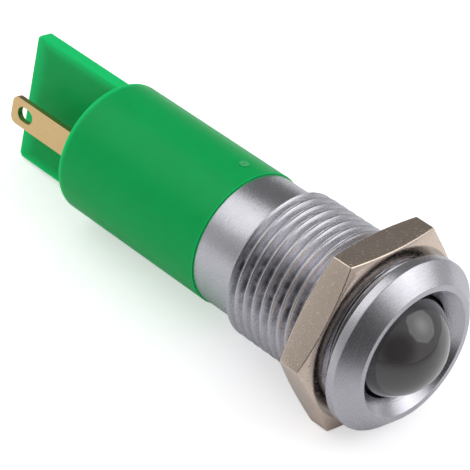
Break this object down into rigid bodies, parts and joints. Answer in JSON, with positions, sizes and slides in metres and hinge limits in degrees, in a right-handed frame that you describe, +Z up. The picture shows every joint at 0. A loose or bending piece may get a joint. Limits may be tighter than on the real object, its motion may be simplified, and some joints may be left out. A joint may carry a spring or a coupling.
{
  "type": "panel pilot light",
  "caption": "Pilot light for a round panel hole: recessed metal bezel with a smoked dome lens, threaded bushing with hexagon nut, green moulded rear housing, fin and solder tabs.",
  "frame": {"origin": "on the axis, in the rear plane of the bezel flange, where the front of the panel lies", "axes": "+Y along the axis from the lens to the solder tabs, +Z up, with a flat of the nut facing down"},
  "size_m": [0.0194, 0.0509, 0.0168],
  "materials": {
    "satin_chrome": "satin",
    "nickel_plate": "satin",
    "black_rubber": "matte",
    "smoked_lens": "gloss",
    "black_nylon": "matte",
    "clear_epoxy": "gloss",
    "tinned_lead": "satin",
    "lamp_crystal": "gloss",
    "board_laminate": "satin",
    "chip_ceramic": "satin",
    "black_moulding": "matte",
    "gold_plate": "satin",
    "solder": "satin",
    "green_nylon": "satin",
    "resin_fill": "gloss"
  },
  "bodies": {
    "light": {"bezel_bushing": "satin_chrome", "panel_seal_ring": "black_rubber", "dome_lens": "smoked_lens", "lens_seal_ring": "black_rubber", "lamp_holder": "black_nylon", "lamp_body": "clear_epoxy", "lamp_anode_lead": "tinned_lead", "lamp_cathode_lead": "tinned_lead", "lamp_chip": "lamp_crystal", "circuit_board": "board_laminate", "dropping_resistor_front": "chip_ceramic", "dropping_resistor_rear": "chip_ceramic", "protection_diode": "black_moulding", "smoothing_capacitor": "chip_ceramic", "solder_tab_right": "gold_plate", "solder_tab_left": "gold_plate", "tab_solder_right": "solder", "tab_solder_left": "solder", "anode_solder": "solder", "cathode_solder": "solder", "housing": "green_nylon", "casting_resin": "resin_fill"},
    "nut": {"panel_nut": "nickel_plate"}
  },
  "joints": [
    {"name": "nut_travel", "type": "slide", "parent": "light", "child": "nut", "axis": [0, 1, 0], "range_m": [-0.0009, 0.009]}
  ]
}
